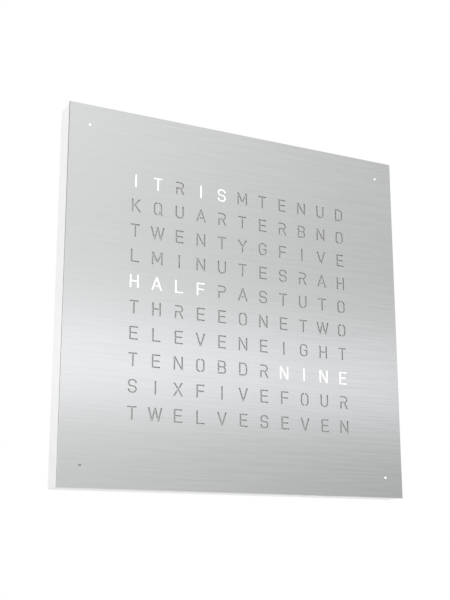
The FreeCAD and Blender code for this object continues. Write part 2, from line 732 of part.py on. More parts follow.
# ------------------------------------------------------------------ write every node
def main():
    os.makedirs("parts", exist_ok=True)
    magnet_level = (Y_CASE_FRONT, Y_CASE_FRONT + MAGNET_DEEP)
    strike_level = (Y_COVER_BACK, Y_CASE_FRONT - MAGNET_AIR)

    save("front_cover", front_cover())
    save("diffuser_sheet", diffuser_sheet())
    save("strike_plates", rail_magnets(strike_level, STRIKE_LAP))
    save("cover_pins", cover_pins())

    save("case_frame", case_frame())
    save("holding_magnets", rail_magnets(magnet_level, 0))
    save("pin_bushes", pin_bushes())
    save("light_grid", light_grid())
    save("grid_tape", grid_tape())
    save("led_board", led_board())
    save("letter_leds", letter_leds())
    save("led_driver_chips", led_driver_chips())
    save("light_sensor", light_sensor())
    save("minute_boards", minute_boards())
    save("minute_leds", minute_leds())
    save("minute_leads", minute_leads())

    save("back_panel", back_panel())
    save("back_panel_screws", back_panel_screws())
    save("hanger_plates", hanger_plates())
    save("power_socket", power_socket())
    save("socket_pin", socket_pin())
    save("power_lead", power_lead())
    save("power_connector", power_connector())
    save("control_board", control_board())
    save("microcontroller", microcontroller())
    save("quartz_crystal", quartz_crystal())
    save("cell_holder", cell_holder())
    save("coin_cell", coin_cell())
    save("link_header", link_header())

    save("button_board", button_board())
    save("board_brackets", board_brackets())
    save("tact_switches", tact_switches())
    save("button_ribbon", button_ribbon())
    save("button_connector", button_connector())
    for name, x in zip(BUTTONS, button_places()):
        save(name + "_button", set_button(x))
        save(name + "_plunger", plunger(x))


main()
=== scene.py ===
"""Looks of the square word clock: brushed steel cover with stencil letters, lacquered case.

Lengths are metres in the CAD's frame: X to the right and Z up as the clock is read, Y towards
the wall. Letters are drawn in millimetres and scaled once.
"""
import json
import math

import bmesh
import bpy
from mathutils import Matrix, Vector
from mathutils.geometry import delaunay_2d_cdt


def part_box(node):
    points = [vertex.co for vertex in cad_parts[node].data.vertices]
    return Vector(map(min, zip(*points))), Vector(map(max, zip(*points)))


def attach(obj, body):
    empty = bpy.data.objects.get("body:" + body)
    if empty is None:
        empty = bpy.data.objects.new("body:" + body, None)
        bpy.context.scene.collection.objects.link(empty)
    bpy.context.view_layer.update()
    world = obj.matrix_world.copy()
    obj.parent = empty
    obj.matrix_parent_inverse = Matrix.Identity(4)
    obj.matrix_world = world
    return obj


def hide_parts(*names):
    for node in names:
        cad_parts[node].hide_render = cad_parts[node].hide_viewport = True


MM = 0.001
CORNERS = ((-1, -1), (1, -1), (1, 1), (-1, 1))  # of a square, anticlockwise

# ------------------------------------------------------------------ letters on the cover
ROWS = (
    "ITRISMTENUD",
    "KQUARTERBNO",
    "TWENTYGFIVE",
    "LMINUTESRAH",
    "HALFPASTUTO",
    "THREEONETWO",
    "ELEVENEIGHT",
    "TENOBDRNINE",
    "SIXFIVEFOUR",
    "TWELVESEVEN",
)
LIT_RUNS = ((0, 0, 2), (0, 3, 2), (4, 0, 4), (7, 7, 4))    # row, first column, letters
LIT_DOTS = ((-1, 1), (1, 1), (1, -1))                       # sides of the corners, X and Z

# Sizes of the alphabet, in millimetres.
CAP = 15.7
STROKE = 1.9                # upright and slanting
CROSS_STROKE = 1.5          # level
HALF_LETTER = 5.45
BRIDGE = 1.5                # metal left standing across a closed letter
ARC_STEPS = 8               # to a quarter turn
LETTER_RISE = 0.25          # letter's centre above its cell's
SAME_POINT = 1e-4           # corners of outlines this close are one

# ------------------------------------------------------------------ sizes of small things
SHARP_TURN = math.radians(30)   # an edge looks sharp where the surface turns by more
COVER_EDGE = 0.3 * MM
DOT_R = 1.5 * MM
DOT_SIDES = 40
DOT_WINDOW = 3.9 * MM       # half side of the glowing square behind a dot
SHEET_AIR = 0.02 * MM       # between the cover's back and the opal sheet
LED_SIDE = 5.0 * MM
MINUTE_LED_SIDE = 3.0 * MM
# Shares of an LED's half side: soft edge, window's radius at its rim and its floor, and its depth.
LED_EDGE, LED_RIM, LED_FLOOR, LED_DEEP = 0.06, 0.76, 0.68, 0.1
LED_STEPS = 16              # round the window
SCREW_SHANK_R = 1.2 * MM
SCREW_HEAD_R = 2.6 * MM
# Pan head: share of its radius, and millimetres above its underside.
SCREW_DOME = ((1.0, 0.45), (0.93, 0.85), (0.8, 1.12), (0.62, 1.2))
SCREW_HEAD_HIGH = SCREW_DOME[-1][1] * MM
# Cross recess: half width and reach of its arms, depth, and share of its size left at its floor.
PLUS_ARM, PLUS_REACH, PLUS_DEEP = 0.32 * MM, 1.35 * MM, 0.8 * MM
PLUS_TAPER = 0.8
BUTTONS = ("hour", "minute", "mode", "brightness")
BUTTON_STEPS = 32
# Dished cap: radius, and rise above the lowest point, in millimetres.
BUTTON_DISH = ((0.8, 0.24), (1.5, 0.19), (2.1, 0.08), (2.5, 0.0), (2.8, 0.08), (2.95, 0.25),
               (3.0, 0.5))
BUTTON_R = BUTTON_DISH[-1][0] * MM
FLANGE_HALF = 3.9 * MM
FLANGE_THICK = 1.2 * MM

# ------------------------------------------------------------------ camera and light
CAMERA_AT = (-0.5803, -1.1876, -0.3322)
CAMERA_TARGET = (0.0493, -0.034, -0.0055)
CAMERA_ROLL = math.radians(-0.775)
CAMERA_LENS = 65.603
CAMERA_SHIFT = (-0.0889, 0.026)
CAMERA_CLIP = (0.05, 200)
SOFT_LEVEL = 0.95           # of the even light on everything that isn't polished
KEY_AT = (-1.6, -2.2, 1.2)
KEY_SIDE = 1.6
KEY_POWER = 16
# What polished surfaces see of the room: levels against the rise per metre of run to the wall, on
# the left and on the right of the wall ahead, and on the wall to the left.
ROOM_LEFT = ((0.0, 0.72), (0.1, 0.76), (0.16, 0.68), (0.2, 1.63), (0.245, 1.15), (0.285, 0.84),
             (0.36, 0.9), (0.47, 0.98), (0.6, 1.02))
ROOM_RIGHT = ((0.0, 0.46), (0.1, 0.48), (0.16, 0.42), (0.2, 1.21), (0.245, 0.97), (0.285, 0.59),
              (0.36, 0.6), (0.47, 0.67), (0.6, 0.69))
ROOM_BESIDE = ((0.0, 0.85), (0.08, 0.95), (0.16, 1.2), (0.28, 1.2), (0.36, 0.7), (0.42, 0.4),
               (0.6, 0.4))
# Sideways run per metre to the wall ahead, over which one level turns into the next.
ROOM_ASIDE = (0.28, 0.72)   # rightward, from the wall's left levels to its right ones
ROOM_CORNER = (1.6, 2.4)    # leftward, from the wall ahead to the one on the left
LEAST_RUN = 0.02            # keeps the rise finite for a look along the wall
# The room is a plain white and its lamp a bluer one, against the rise on the wall ahead.
WHITE_LEVEL = 0.95          # the green of both, which a level is divided by
ROOM_WHITE = (WHITE_LEVEL, WHITE_LEVEL, WHITE_LEVEL)
LAMP_WHITE = (0.955, WHITE_LEVEL, 0.993)
ROOM_COLOURS = ((0.16, ROOM_WHITE), (0.17, ROOM_WHITE), (0.205, LAMP_WHITE), (0.235, LAMP_WHITE),
                (0.27, ROOM_WHITE), (0.28, ROOM_WHITE))
# Colour ramps hold rises and levels as shares of these.
RISE_SPAN = 0.6
LEVEL_SPAN = 2.0
FLOOR_Z = -1.7
FLOOR_R = 80.0

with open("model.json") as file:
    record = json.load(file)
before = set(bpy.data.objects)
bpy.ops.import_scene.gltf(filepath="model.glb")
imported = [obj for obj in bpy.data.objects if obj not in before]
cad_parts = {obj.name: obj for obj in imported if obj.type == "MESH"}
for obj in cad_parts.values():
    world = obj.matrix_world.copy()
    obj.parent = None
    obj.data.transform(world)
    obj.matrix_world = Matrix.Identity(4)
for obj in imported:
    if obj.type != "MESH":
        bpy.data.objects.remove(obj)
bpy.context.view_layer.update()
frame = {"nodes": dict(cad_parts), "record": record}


# ------------------------------------------------------------------ places read from the frame
cover_low, cover_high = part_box("front_cover")
sheet_low, sheet_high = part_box("diffuser_sheet")
led_low, led_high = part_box("letter_leds")
minute_low, minute_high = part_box("minute_leds")

COVER_HALF = cover_high.x
COLUMN_COUNT = len(ROWS[0])
PITCH_X = (led_high.x - led_low.x - LED_SIDE) / (COLUMN_COUNT - 1)
PITCH_Z = (led_high.z - led_low.z - LED_SIDE) / (len(ROWS) - 1)
DOT_PLACE = minute_high.x - MINUTE_LED_SIDE / 2


def cell_centre(row, column):
    x = (column - (COLUMN_COUNT - 1) / 2) * PITCH_X
    z = ((len(ROWS) - 1) / 2 - row) * PITCH_Z
    return Vector((x, z))


def lit_cells():
    return [(row, first + i) for row, first, count in LIT_RUNS for i in range(count)]


# ------------------------------------------------------------------ alphabet
TOP = CAP / 2               # upper edge of the capitals
H = TOP - CROSS_STROKE / 2  # centre line of top and bottom strokes
W = HALF_LETTER - STROKE / 2    # centre line of the outer upright strokes


def bar(start, end):
    """Straight stroke along X or Z, with square ends."""
    (x0, z0), (x1, z1) = start, end
    grow_x, grow_z = (STROKE / 2, 0) if x0 == x1 else (0, CROSS_STROKE / 2)
    low_x, high_x = min(x0, x1) - grow_x, max(x0, x1) + grow_x
    low_z, high_z = min(z0, z1) - grow_z, max(z0, z1) + grow_z
    return [(low_x, low_z), (high_x, low_z), (high_x, high_z), (low_x, high_z)]


def slant(start, end):
    """Slanting stroke with level ends."""
    (x0, z0), (x1, z1) = start, end
    reach = STROKE / 2 * math.hypot(x1 - x0, z1 - z0) / abs(z1 - z0)
    return [(x0 - reach, z0), (x0 + reach, z0), (x1 + reach, z1), (x1 - reach, z1)]


def left_of(direction):
    return Vector((-direction.y, direction.x)).normalized()


def corner(before, here, after, radius):
    """Points and side directions of a stroke's corner, mitred if the radius is 0."""
    into = (here - before).normalized()
    out = (after - here).normalized()
    if not radius:
        side = left_of(into) + left_of(out)
        return [(here, side * 2 / side.length_squared)]
    turn = math.atan2(into.x * out.y - into.y * out.x, into.dot(out))
    start = here - into * radius * math.tan(abs(turn) / 2)
    spoke = left_of(into) * -math.copysign(radius, turn)
    steps = max(2, round(ARC_STEPS * abs(turn) / (math.pi / 2)))
    points = []
    for i in range(steps + 1):
        swing = Matrix.Rotation(turn * i / steps, 2)
        points.append((start - spoke + swing @ spoke, swing @ left_of(into)))
    return points


def path(*points):
    """Outline of a stroke through (x, z) or (x, z, corner radius)."""
    places = [Vector(p[:2]) for p in points]
    line = [(places[0], left_of(places[1] - places[0]))]
    for i in range(1, len(points) - 1):
        radius = points[i][2] if len(points[i]) > 2 else 0
        line += corner(places[i - 1], places[i], places[i + 1], radius)
    line.append((places[-1], left_of(places[-1] - places[-2])))
    half = Vector((STROKE, CROSS_STROKE)) / 2
    left = [tuple(p + side * half) for p, side in line]
    right = [tuple(p - side * half) for p, side in reversed(line)]
    return left + right


def stem(x, low=-TOP, high=TOP):
    return bar((x, low), (x, high))


def alphabet():
    """Stencil capitals about their centre; each is a list of outlines that may overlap."""
    w, h, top, edge = W, H, TOP, HALF_LETTER
    gap = BRIDGE / 2
    above, below = h - CROSS_STROKE / 2 - BRIDGE, -h + CROSS_STROKE / 2 + BRIDGE
    big, small = 4.0, 3.5
    mid = -0.1
    back = -w + 0.5
    bowl_top = [(back - STROKE / 2, h), (w, h, small), (w, mid, small), (back, mid)]
    glyphs = {
        "A": [slant((-5.6, -top), (0, top)), slant((5.6, -top), (0, top)),
              bar((-1.3, -2.9), (3.8, -2.9))],
        "B": [stem(-w, below, above),
              path((-edge, h), (w - 0.4, h, 3.2), (w - 0.4, 0.4, 3.2), (-w, 0.4)),
              path((-w, 0.4), (w, 0.4, 3.6), (w, -h, 3.6), (-edge, -h))],
        "D": [path((-edge, -h), (w, -h, big), (w, h, big), (-w, h), (-w, below))],
        "E": [stem(back), bar((back, h), (edge, h)), bar((back, 0.2), (edge - 0.9, 0.2)),
              bar((back, -h), (edge, -h))],
        "F": [stem(back), bar((back, h), (edge, h)), bar((back, 0), (edge - 1.0, 0))],
        "G": [path((w, h - 3.9), (w, h, 3.7), (-w, h, big), (-w, -h, big), (w, -h, big),
                   (w, mid), (0.8, mid))],
        "H": [stem(-w), stem(w), bar((-w, 0.2), (w, 0.2))],
        "I": [stem(0)],
        "K": [stem(back), slant((-3.2, -1.8), (4.9, top)), slant((5.5, -top), (-1.1, 0.7))],
        "L": [stem(back), bar((back, -h), (edge, -h))],
        "M": [stem(-5.8), stem(5.8), slant((0, -4.8), (-5.6, top)), slant((0, -4.8), (5.6, top))],
        "N": [stem(-w - 0.4), stem(w + 0.4), slant((w + 0.2, -top), (-w - 0.2, top))],
        "O": [path((side * gap, h), (side * w, h, 3.7), (side * w, -h, 3.7), (side * gap, -h))
              for side in (-1, 1)],
        "P": [path(*bowl_top, (back, -top))],
        "R": [path(*bowl_top, (back, -top)), slant((5.0, -top), (1.0, mid))],
        "S": [path((w, h - 3.7), (w, h, small), (-w, h, small), (-w, 0, small), (w, 0, small),
                   (w, -h, small), (-w, -h, small), (-w, -h + 3.7))],
        "T": [stem(0), bar((-edge, h), (edge, h))],
        "U": [path((-w, top), (-w, -h, w), (w, -h, w), (w, top))],
        "V": [slant((0, -top), (-5.2, top)), slant((0, -top), (5.2, top))],
        "W": [slant((side * 4.0, -top), (side * x, top)) for side in (-1, 1) for x in (0, 7.9)],
        "X": [slant((-5.2, -top), (4.9, top)), slant((5.2, -top), (-4.9, top))],
        "Y": [slant((0, -0.6), (-5.3, top)), slant((0, -0.6), (5.3, top)), stem(0, -top, 0.2)],
    }
    glyphs["Q"] = glyphs["O"] + [slant((5.5, -top - 0.5), (2.1, -3.8))]
    return glyphs


def letter_openings():
    glyphs = alphabet()
    openings = []
    for row, text in enumerate(ROWS):
        for column, letter in enumerate(text):
            at = cell_centre(row, column) + Vector((0, LETTER_RISE * MM))
            for outline in glyphs[letter]:
                openings.append([at + Vector(point) * MM for point in outline])
    return openings


def dot_outline(centre):
    turns = [2 * math.pi * i / DOT_SIDES for i in range(DOT_SIDES)]
    return [centre + Vector((math.cos(a), math.sin(a))) * DOT_R for a in turns]


def square(centre, half_x, half_z):
    return [centre + Vector((sx * half_x, sz * half_z)) for sx, sz in CORNERS]


# ------------------------------------------------------------------ flat meshes with openings
FIRST_ALONE = [0]           # what a triangle lies inside, where only the first outline holds it
# Places in the cover's list of finishes; the steel walls of lit letters and dots (LIT_SIDE) glow
# with painted light.
FACE, FINE_EDGE, OUTER_SIDE, UNLIT_SIDE, LIT_SIDE = range(5)


def turned_left(outline):
    """The same outline, anticlockwise."""
    area = sum(a.x * b.y - a.y * b.x for a, b in zip(outline, outline[1:] + outline[:1]))
    return outline if area > 0 else outline[::-1]


def divided(outlines):
    """Triangles of the first outline, split along the others, with what each lies inside."""
    points, faces = [], []
    for outline in outlines:
        faces.append(range(len(points), len(points) + len(outline)))
        points += [p / MM for p in turned_left(outline)]
    done = delaunay_2d_cdt(points, [], [list(f) for f in faces], 1, SAME_POINT)
    places, triangles, owners = done[0], done[2], done[5]
    inside = [sorted(set(owner)) for owner in owners]
    return [p * MM for p in places], triangles, inside


def piece(name, body, vertices, faces, materials):
    """New mesh object that rides on a CAD body."""
    mesh = bpy.data.meshes.new(name)
    mesh.from_pydata(vertices, [], faces)
    for mat in materials:
        mesh.materials.append(mat)
    mesh.shade_smooth()
    mesh.set_sharp_from_angle(angle=SHARP_TURN)
    made = bpy.data.objects.new(name, mesh)
    bpy.context.scene.collection.objects.link(made)
    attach(made, body)
    return made


def rims(triangles):
    """Directed edges with a triangle on one side only."""
    edges = {(t[i], t[(i + 1) % 3]) for t in triangles for i in range(3)}
    return [(a, b) for a, b in sorted(edges) if (b, a) not in edges]


def lit_at(point):
    """Whether a point of the face belongs to a lit letter or dot."""
    column = round(point.x / PITCH_X + (COLUMN_COUNT - 1) / 2)
    row = round((len(ROWS) - 1) / 2 - point.y / PITCH_Z)
    dots = [Vector(side) * DOT_PLACE for side in LIT_DOTS]
    return (row, column) in lit_cells() or any((point - dot).length < DOT_WINDOW for dot in dots)


def cover_plate(finishes):
    """Steel plate with the letters and dots cut right through, and a fine edge round the face."""
    inner = COVER_HALF - COVER_EDGE
    outlines = [square(Vector((0, 0)), inner, inner)] + letter_openings()
    outlines += [dot_outline(Vector((sx, sz)) * DOT_PLACE) for sx in (-1, 1) for sz in (-1, 1)]
    places, triangles, inside = divided(outlines)
    kept = [t for t, owner in zip(triangles, inside) if owner == FIRST_ALONE]

    front, back = cover_low.y, cover_high.y
    outer = [max(abs(p.x), abs(p.y)) > inner - COVER_EDGE / 2 for p in places]
    wide = [p * (COVER_HALF / inner) if edge else p for p, edge in zip(places, outer)]
    count = len(places)
    vertices = [(p.x, front, p.y) for p in places]
    vertices += [(p.x, back, p.y) for p in wide]
    vertices += [(p.x, front + COVER_EDGE, p.y) for p in wide]
    faces = list(kept) + [[a + count for a in reversed(t)] for t in kept]
    slots = [FACE] * len(faces)
    for a, b in rims(kept):
        if outer[a] and outer[b]:
            ring_a, ring_b = a + 2 * count, b + 2 * count
            faces += [(a, ring_a, ring_b, b), (ring_a, a + count, b + count, ring_b)]
            slots += [FINE_EDGE, OUTER_SIDE]
        else:
            faces.append((a, a + count, b + count, b))
            slots.append(LIT_SIDE if lit_at(places[a]) else UNLIT_SIDE)
    plate = piece("cover_plate", "cover", vertices, faces, finishes)
    for face, slot in zip(plate.data.polygons, slots):
        face.material_index = slot
    drop_loose(plate.data)
    along_brushing(plate.data)
    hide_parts("front_cover")


def drop_loose(mesh):
    """Removes points that no face uses."""
    used = {v for f in mesh.polygons for v in f.vertices}
    work = bmesh.new()
    work.from_mesh(mesh)
    work.verts.ensure_lookup_table()
    loose = [v for v in work.verts if v.index not in used]
    bmesh.ops.delete(work, geom=loose, context="VERTS")
    work.to_mesh(mesh)
    work.free()


def along_brushing(mesh):
    """Texture directions with U along the brush lines."""
    layer = mesh.uv_layers.new(name="brushing")
    for loop in mesh.loops:
        at = mesh.vertices[loop.vertex_index].co
        layer.data[loop.index].uv = (at.x / (2 * COVER_HALF) + 0.5, at.z / (2 * COVER_HALF) + 0.5)


def opal_sheet(opal, glow):
    """Diffuser behind the letters; the cells of lit letters and dots glow."""
    half = sheet_high.x
    outlines = [square(Vector((0, 0)), half, half)]
    outlines += [square(cell_centre(*cell), PITCH_X / 2, PITCH_Z / 2) for cell in lit_cells()]
    outlines += [square(Vector(side) * DOT_PLACE, DOT_WINDOW, DOT_WINDOW) for side in LIT_DOTS]
    places, triangles, inside = divided(outlines)
    front, back = sheet_low.y + SHEET_AIR, sheet_high.y
    count = len(places)
    vertices = [(p.x, y, p.y) for y in (front, back) for p in places]
    faces = list(triangles) + [[a + count for a in reversed(t)] for t in triangles]
    faces += [(a, a + count, b + count, b) for a, b in rims(triangles)]
    sheet = piece("opal_sheet", "cover", vertices, faces, [opal, glow])
    for face, owner in zip(sheet.data.polygons, inside):
        face.material_index = int(owner != FIRST_ALONE)
    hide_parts("diffuser_sheet")


# ------------------------------------------------------------------ small turned and moulded pieces
WINDOW, LIT_WINDOW = 1, 2   # places in the LEDs' list of finishes


def loft(rings):
    """Rings of points, joined one after the other and closed at both ends."""
    count = len(rings[0])
    vertices = [point for ring in rings for point in ring]
    faces = [tuple(range(count))]
    for start in range(0, len(vertices) - count, count):
        for i in range(count):
            j = (i + 1) % count
            faces.append((start + i, start + count + i, start + count + j, start + j))
    faces.append(tuple(range(len(vertices) - 1, len(vertices) - count - 1, -1)))
    return vertices, faces


def gathered(shapes):
    """Several lofts as one mesh, with the index of each one's last face."""
    vertices, faces, ends = [], [], []
    for points, polygons in shapes:
        base = len(vertices)
        vertices += points
        faces += [tuple(base + i for i in polygon) for polygon in polygons]
        ends.append(len(faces) - 1)
    return vertices, faces, ends


def outward(mesh):
    """Turns the faces to look outwards."""
    work = bmesh.new()
    work.from_mesh(mesh)
    bmesh.ops.recalc_face_normals(work, faces=work.faces)
    work.to_mesh(mesh)
    work.free()


def round_ring(turns, radius):
    return [Vector((math.cos(a), math.sin(a))) * radius for a in turns]


def square_ring(turns, half):
    ring = []
    for a in turns:
        way = Vector((math.cos(a), math.sin(a)))
        ring.append(way * half / max(abs(way.x), abs(way.y)))
    return ring


def led_package(centre, half, back, front):
    """White housing with a round window, sunk to the phosphor that is its last face."""
    turns = [2 * math.pi * i / LED_STEPS for i in range(LED_STEPS)]
    edge = half * LED_EDGE
    levels = ((square_ring(turns, half), back), (square_ring(turns, half), front + edge),
              (square_ring(turns, half - edge), front), (round_ring(turns, half * LED_RIM), front),
              (round_ring(turns, half * LED_FLOOR), front + half * LED_DEEP))
    return loft([[(centre.x + p.x, y, centre.y + p.y) for p in ring] for ring, y in levels])


def led_packages(name, node, half, places, lit, finishes):
    low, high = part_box(node)
    vertices, faces, windows = gathered([led_package(at, half, high.y, low.y) for at in places])
    made = piece(name, "clock_case", vertices, faces, finishes)
    for window, on in zip(windows, lit):
        made.data.polygons[window].material_index = LIT_WINDOW if on else WINDOW
    outward(made.data)
    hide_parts(node)


def all_leds(finishes):
    cells = [(row, column) for row in range(len(ROWS)) for column in range(COLUMN_COUNT)]
    led_packages("letter_led_packages", "letter_leds", LED_SIDE / 2,
                 [cell_centre(*cell) for cell in cells], [cell in lit_cells() for cell in cells],
                 finishes)
    sides = [(sx, sz) for sx in (-1, 1) for sz in (-1, 1)]
    led_packages("minute_led_packages", "minute_leds", MINUTE_LED_SIDE / 2,
                 [Vector(side) * DOT_PLACE for side in sides], [side in LIT_DOTS for side in sides],
                 finishes)


def plus_outline():
    """Cross recess, with a point in the middle of each side."""
    a, b = PLUS_ARM, PLUS_REACH
    arm = [Vector(p) for p in ((b, -a), (b, a), (a, a))]
    points = [Matrix.Rotation(math.pi / 2 * turn, 2) @ p for turn in range(4) for p in arm]
    outline = []
    for here, after in zip(points, points[1:] + points[:1]):
        outline += [here, (here + after) / 2]
    return outline


def panel_screws(finish):
    """Pan heads with a cross recess, on the back panel's four screws."""
    low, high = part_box("back_panel_screws")
    line = high.x - SCREW_HEAD_R
    under = high.y - SCREW_HEAD_HIGH
    plus = plus_outline()
    turns = [math.atan2(p.y, p.x) for p in plus]
    profile = [(SCREW_SHANK_R, low.y), (SCREW_SHANK_R, under), (SCREW_HEAD_R, under)]
    profile += [(share * SCREW_HEAD_R, under + rise * MM) for share, rise in SCREW_DOME]
    shapes = []
    for sx in (-1, 1):
        for sz in (-1, 1):
            at = Vector((sx * line, sz * line))
            levels = [(round_ring(turns, radius), y) for radius, y in profile]
            levels += [(plus, high.y), ([p * PLUS_TAPER for p in plus], high.y - PLUS_DEEP)]
            shapes.append(loft([[(at.x + p.x, y, at.y + p.y) for p in ring] for ring, y in levels]))
    vertices, faces, _ = gathered(shapes)
    made = piece("panel_screws", "clock_case", vertices, faces, [finish])
    outward(made.data)
    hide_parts("back_panel_screws")


def set_buttons(finish):
    """Round caps with a soft edge and a shallow dish, each on its square flange."""
    turns = [2 * math.pi * i / BUTTON_STEPS for i in range(BUTTON_STEPS)]
    for name in BUTTONS:
        low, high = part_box(name + "_button")
        middle = (low + high) / 2
        flange = high.z - FLANGE_THICK
        levels = [(round_ring(turns, r * MM), low.z + rise * MM) for r, rise in BUTTON_DISH]
        levels.append((round_ring(turns, BUTTON_R), flange))
        levels += [(square_ring(turns, FLANGE_HALF), z) for z in (flange, high.z)]
        vertices, faces = loft([[(middle.x + p.x, middle.y + p.y, z) for p in ring]
                                for ring, z in levels])
        made = piece(name + "_cap", name + "_key", vertices, faces, [finish])
        outward(made.data)
        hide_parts(name + "_button")


# ------------------------------------------------------------------ materials
NOISE_SPAN = (0.3, 0.7)     # the part of a noise's range that drives a colour or roughness
COARSER = 12                # the mottling's cells against the fine relief's
# Noise cells per metre along X, Y and Z, in the brushed face.
BRUSH_LINES = (10, 60, 1100)
BRUSH_BANDS = (16, 20, 560)
BRUSH_GROWTH = 0.62         # of the bands' depth, from the cover's left end to its right


def material(name, colour, roughness, metallic=0.0, **sockets):
    """Principled material; further sockets are named with _ for each space."""
    mat = bpy.data.materials.new(name)
    mat.use_nodes = True
    shader = mat.node_tree.nodes["Principled BSDF"]
    shader.inputs["Base Color"].default_value = (*colour, 1)
    shader.inputs["Roughness"].default_value = roughness
    shader.inputs["Metallic"].default_value = metallic
    for key, value in sockets.items():
        shader.inputs[key.replace("_", " ")].default_value = value
    mat.diffuse_color = (*colour, 1)
    return mat


def noise(mat, scale, detail=3.0, rough=0.5):
    """Noise over the object's own coordinates; scale is per metre along X, Y and Z."""
    nodes, links = mat.node_tree.nodes, mat.node_tree.links
    place = nodes.new("ShaderNodeTexCoord")
    stretch = nodes.new("ShaderNodeMapping")
    stretch.inputs["Scale"].default_value = scale
    grain = nodes.new("ShaderNodeTexNoise")
    grain.inputs["Scale"].default_value = 1.0
    grain.inputs["Detail"].default_value = detail
    grain.inputs["Roughness"].default_value = rough
    links.new(place.outputs["Object"], stretch.inputs["Vector"])
    links.new(stretch.outputs["Vector"], grain.inputs["Vector"])
    return grain.outputs["Fac"]


def maths(tree, operation, first, second=0.0):
    """Maths node; each input is a number or a socket."""
    node = tree.nodes.new("ShaderNodeMath")
    node.operation = operation
    for socket, value in zip(node.inputs, (first, second)):
        if isinstance(value, bpy.types.NodeSocket):
            tree.links.new(value, socket)
        else:
            socket.default_value = value
    return node.outputs[0]


def ranged(tree, value, span, low=0.0, high=1.0):
    """The value, with the span stretched to run from low to high."""
    node = tree.nodes.new("ShaderNodeMapRange")
    node.inputs["From Min"].default_value = span[0]
    node.inputs["From Max"].default_value = span[1]
    node.inputs["To Min"].default_value = low
    node.inputs["To Max"].default_value = high
    tree.links.new(value, node.inputs["Value"])
    return node.outputs["Result"]


def gloss(mat, value, low, high):
    """Roughness between two, by a value."""
    tree = mat.node_tree
    roughness = tree.nodes["Principled BSDF"].inputs["Roughness"]
    tree.links.new(ranged(tree, value, NOISE_SPAN, low, high), roughness)


def tint(mat, value, first, second):
    """Base colour between two, by a value."""
    nodes, links = mat.node_tree.nodes, mat.node_tree.links
    ramp = nodes.new("ShaderNodeValToRGB")
    for element, place, colour in zip(ramp.color_ramp.elements, NOISE_SPAN, (first, second)):
        element.position = place
        element.color = (*colour, 1)
    links.new(value, ramp.inputs["Fac"])
    links.new(ramp.outputs["Color"], nodes["Principled BSDF"].inputs["Base Color"])


def bump(mat, value, height):
    """Relief of that height in metres, stacked on any that is there."""
    nodes, links = mat.node_tree.nodes, mat.node_tree.links
    relief = nodes.new("ShaderNodeBump")
    relief.inputs["Distance"].default_value = height
    relief.inputs["Strength"].default_value = 1.0
    normal = nodes["Principled BSDF"].inputs["Normal"]
    if normal.is_linked:
        links.new(normal.links[0].from_socket, relief.inputs["Normal"])
    links.new(value, relief.inputs["Height"])
    links.new(relief.outputs["Normal"], normal)


def shade(colour, factor):
    return tuple(min(1.0, c * factor) for c in colour)


def plain(name, colour, roughness, grain, relief=0.01 * MM, **sockets):
    """Moulded or coated surface: slight mottling, uneven gloss and a fine relief."""
    mat = material(name, colour, roughness, **sockets)
    coarse = noise(mat, (grain / COARSER,) * 3)
    fine = noise(mat, (grain,) * 3, detail=2.0)
    tint(mat, coarse, shade(colour, 0.98), shade(colour, 1.01))
    gloss(mat, coarse, roughness * 0.9, roughness * 1.1)
    bump(mat, fine, relief)
    return mat


def fainter_leftward(mat, value):
    """The value's swing about its middle, full at the right end and less than half at the left."""
    tree = mat.node_tree
    place = tree.nodes.new("ShaderNodeTexCoord")
    axes = tree.nodes.new("ShaderNodeSeparateXYZ")
    tree.links.new(place.outputs["Object"], axes.inputs["Vector"])
    share = maths(tree, "DIVIDE", axes.outputs["X"], 2 * COVER_HALF)
    depth = maths(tree, "ADD", maths(tree, "MULTIPLY", share, BRUSH_GROWTH), 1 - BRUSH_GROWTH / 2)
    swing = maths(tree, "MULTIPLY", maths(tree, "SUBTRACT", value, 0.5), depth)
    return maths(tree, "ADD", swing, 0.5)


def brushed_steel():
    """Stainless steel with fine level brush lines of uneven length."""
    colour = (0.7345, 0.7455, 0.742)
    mat = material("brushed_steel", colour, 0.17, 1.0, Anisotropic=0.3)
    nodes, links = mat.node_tree.nodes, mat.node_tree.links
    along = nodes.new("ShaderNodeTangent")
    along.direction_type = "UV_MAP"
    along.uv_map = "brushing"
    links.new(along.outputs["Tangent"], nodes["Principled BSDF"].inputs["Tangent"])
    lines = noise(mat, BRUSH_LINES, detail=4.0, rough=0.65)
    bands = fainter_leftward(mat, noise(mat, BRUSH_BANDS, detail=2.0))
    tint(mat, bands, shade(colour, 0.965), shade(colour, 1.035))
    gloss(mat, lines, 0.14, 0.2)
    bump(mat, lines, 0.0025 * MM)
    bump(mat, bands, 0.018 * MM)
    return mat


def cut_steel(name, level, roughness=0.45):
    """Edges of the sheet, with fine marks across it."""
    colour = (level, level, level)
    mat = material(name, colour, roughness, 1.0)
    marks = noise(mat, (2600, 300, 2600))
    tint(mat, marks, shade(colour, 0.85), shade(colour, 1.1))
    bump(mat, marks, 0.01 * MM)
    return mat


def zinc(name, colour, roughness):
    """Rolled and plated sheet."""
    mat = material(name, colour, roughness, 1.0)
    grain = noise(mat, (120, 400, 900), detail=4.0)
    tint(mat, grain, shade(colour, 0.93), shade(colour, 1.03))
    gloss(mat, grain, roughness * 0.8, roughness * 1.25)
    bump(mat, grain, 0.004 * MM)
    return mat


def glowing(name, colour, light, strength):
    """Surface of that colour, glowing: a translucent one lit from behind, or painted light where it
    is given to the steel walls of lit letters.
    """
    return plain(name, colour, 0.6, grain=1600, Emission_Color=(*light, 1),
                 Emission_Strength=strength)


def board(name, colour):
    """Circuit board with solder mask over copper tracks."""
    mat = plain(name, colour, 0.38, grain=1400, relief=0.004 * MM)
    tracks = noise(mat, (180, 180, 180), detail=0.0)
    bump(mat, tracks, 0.02 * MM)
    return mat


